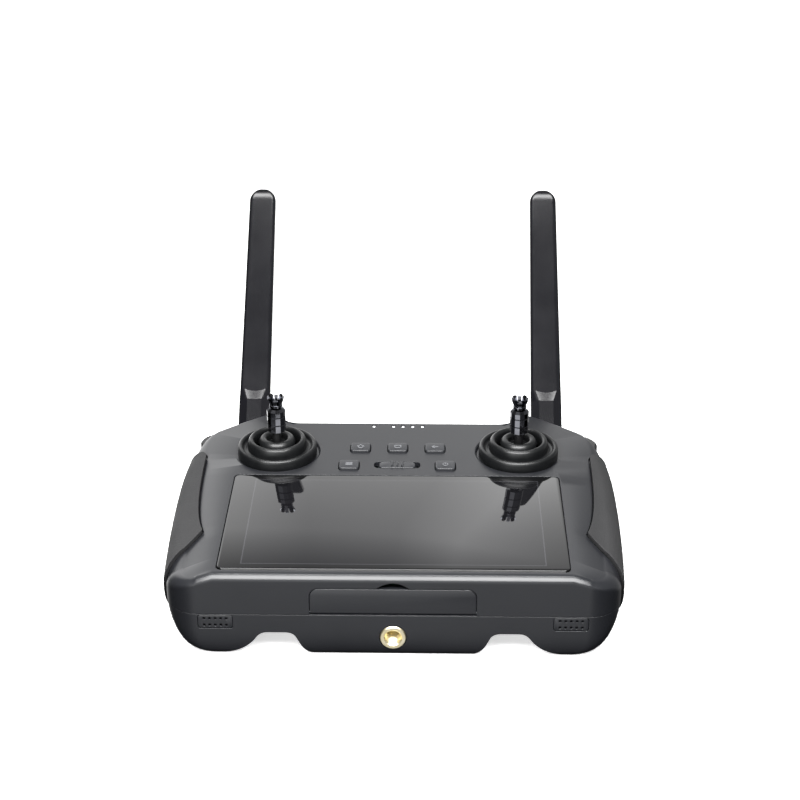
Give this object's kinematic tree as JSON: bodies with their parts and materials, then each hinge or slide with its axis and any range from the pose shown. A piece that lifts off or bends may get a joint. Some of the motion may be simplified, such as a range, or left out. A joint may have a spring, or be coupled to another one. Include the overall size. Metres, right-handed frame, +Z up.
{
  "type": "radio transmitter controller",
  "caption": "Handheld radio controller with a large flat display, twin thumb sticks, soft keys, a slide switch, shoulder dials and folding paddle antennas.",
  "frame": {"origin": "middle of the flat underside of the body, on the resting plane", "axes": "+Z up out of the display, +X to the user's right, +Y away from the user towards the antennas"},
  "size_m": [0.1892, 0.2453, 0.11],
  "materials": {
    "shell": "fine moulded satin",
    "pad": "fine stippled soft-touch rubber",
    "key": "moulded satin",
    "glass": "polished cover glass over a dark display",
    "inner_black": "moulded matt",
    "board": "solder-masked circuit board",
    "black_chrome": "polished black chrome",
    "boot": "satin moulded silicone",
    "brass": "turned, bright",
    "steel": "plain",
    "light": "clear light pipe, lit white",
    "antenna": "moulded satin",
    "cell": "shrink-wrapped pack"
  },
  "bodies": {
    "root": {"top_shell": "shell", "bottom_shell": "shell", "battery_cover": "shell", "grip_pad_left": "pad", "grip_pad_right": "pad", "screen_glass": "glass", "display_panel": "inner_black", "gimbal_frame_left": "inner_black", "gimbal_frame_right": "inner_black", "speaker_grille_left": "inner_black", "speaker_grille_right": "inner_black", "speaker_left": "inner_black", "speaker_right": "inner_black", "main_board": "board", "keypad_board": "board", "port_board": "board", "gimbal_boot_left": "boot", "gimbal_boot_right": "boot", "tripod_insert": "brass", "antenna_connector_left": "brass", "antenna_connector_right": "brass", "slide_switch_body": "steel", "port_door_pin": "steel", "dial_axle_left": "steel", "dial_axle_right": "steel", "case_screw_front_left": "steel", "case_screw_front_right": "steel", "case_screw_rear_left": "steel", "case_screw_rear_right": "steel", "cover_screw_front": "steel", "cover_screw_rear": "steel", "status_light_pipe": "light", "battery_pack": "cell"},
    "yoke_left": {"gimbal_yoke_left": "inner_black"},
    "stick_left": {"stick_shaft_left": "black_chrome", "stick_collar_left": "black_chrome", "stick_crown_left": "black_chrome", "boot_cap_left": "boot"},
    "antenna_swivel_left": {"antenna_knuckle_left": "antenna", "antenna_pin_left": "steel"},
    "antenna_left": {"antenna_blade_left": "antenna"},
    "dial_left": {"shoulder_dial_left": "inner_black"},
    "yoke_right": {"gimbal_yoke_right": "inner_black"},
    "stick_right": {"stick_shaft_right": "black_chrome", "stick_collar_right": "black_chrome", "stick_crown_right": "black_chrome", "boot_cap_right": "boot"},
    "antenna_swivel_right": {"antenna_knuckle_right": "antenna", "antenna_pin_right": "steel"},
    "antenna_right": {"antenna_blade_right": "antenna"},
    "dial_right": {"shoulder_dial_right": "inner_black"},
    "key_top_left": {"button_top_left": "key"},
    "key_top_middle": {"button_top_middle": "key"},
    "key_top_right": {"button_top_right": "key"},
    "key_lower_left": {"button_lower_left": "key"},
    "key_lower_right": {"button_lower_right": "key"},
    "slide_switch": {"slide_switch_knob": "key"},
    "door": {"port_door": "shell"}
  },
  "joints": [
    {"name": "stick_left_pitch", "type": "hinge", "parent": "root", "child": "yoke_left", "pos_m": [-0.0533, 0.0386, 0.0375], "axis": [1, 0, 0], "range_deg": [-24, 24], "stiffness_Nm_per_rad": 0.03},
    {"name": "stick_left_roll", "type": "hinge", "parent": "yoke_left", "child": "stick_left", "pos_m": [-0.0533, 0.0386, 0.0375], "axis": [0, 1, 0], "range_deg": [-24, 24], "stiffness_Nm_per_rad": 0.03},
    {"name": "stick_right_pitch", "type": "hinge", "parent": "root", "child": "yoke_right", "pos_m": [0.0533, 0.0386, 0.0375], "axis": [1, 0, 0], "range_deg": [-24, 24], "stiffness_Nm_per_rad": 0.03},
    {"name": "stick_right_roll", "type": "hinge", "parent": "yoke_right", "child": "stick_right", "pos_m": [0.0533, 0.0386, 0.0375], "axis": [0, 1, 0], "range_deg": [-24, 24], "stiffness_Nm_per_rad": 0.03},
    {"name": "press_top_left", "type": "slide", "parent": "root", "child": "key_top_left", "axis": [0, 0, 1], "range_m": [-0.0008, 0], "stiffness_N_per_m": 1500},
    {"name": "press_top_middle", "type": "slide", "parent": "root", "child": "key_top_middle", "axis": [0, 0, 1], "range_m": [-0.0008, 0], "stiffness_N_per_m": 1500},
    {"name": "press_top_right", "type": "slide", "parent": "root", "child": "key_top_right", "axis": [0, 0, 1], "range_m": [-0.0008, 0], "stiffness_N_per_m": 1500},
    {"name": "press_lower_left", "type": "slide", "parent": "root", "child": "key_lower_left", "axis": [0, 0, 1], "range_m": [-0.0008, 0], "stiffness_N_per_m": 1500},
    {"name": "press_lower_right", "type": "slide", "parent": "root", "child": "key_lower_right", "axis": [0, 0, 1], "range_m": [-0.0008, 0], "stiffness_N_per_m": 1500},
    {"name": "mode_slide", "type": "slide", "parent": "root", "child": "slide_switch", "axis": [1, 0, 0], "range_m": [-0.0022, 0.0022]},
    {"name": "door_hinge", "type": "hinge", "parent": "root", "child": "door", "pos_m": [0, -0.0642, 0.0208], "axis": [1, 0, 0], "range_deg": [0, 90]},
    {"name": "antenna_left_swivel", "type": "hinge", "parent": "root", "child": "antenna_swivel_left", "pos_m": [-0.0692, 0.0775, 0.017], "axis": [0, 1, 0], "range_deg": [-90, 30]},
    {"name": "antenna_left_elbow", "type": "hinge", "parent": "antenna_swivel_left", "child": "antenna_left", "pos_m": [-0.0692, 0.087, 0.017], "axis": [1, 0, 0], "range_deg": [-45, 45]},
    {"name": "antenna_right_swivel", "type": "hinge", "parent": "root", "child": "antenna_swivel_right", "pos_m": [0.0692, 0.0775, 0.017], "axis": [0, 1, 0], "range_deg": [-30, 90]},
    {"name": "antenna_right_elbow", "type": "hinge", "parent": "antenna_swivel_right", "child": "antenna_right", "pos_m": [0.0692, 0.087, 0.017], "axis": [1, 0, 0], "range_deg": [-45, 45]},
    {"name": "dial_left_turn", "type": "hinge", "parent": "root", "child": "dial_left", "pos_m": [-0.0815, 0.0586, 0.0285], "axis": [0, 0, 1], "range_deg": [-30, 30], "stiffness_Nm_per_rad": 0.006},
    {"name": "dial_right_turn", "type": "hinge", "parent": "root", "child": "dial_right", "pos_m": [0.0815, 0.0586, 0.0285], "axis": [0, 0, 1], "range_deg": [-30, 30], "stiffness_Nm_per_rad": 0.006}
  ]
}
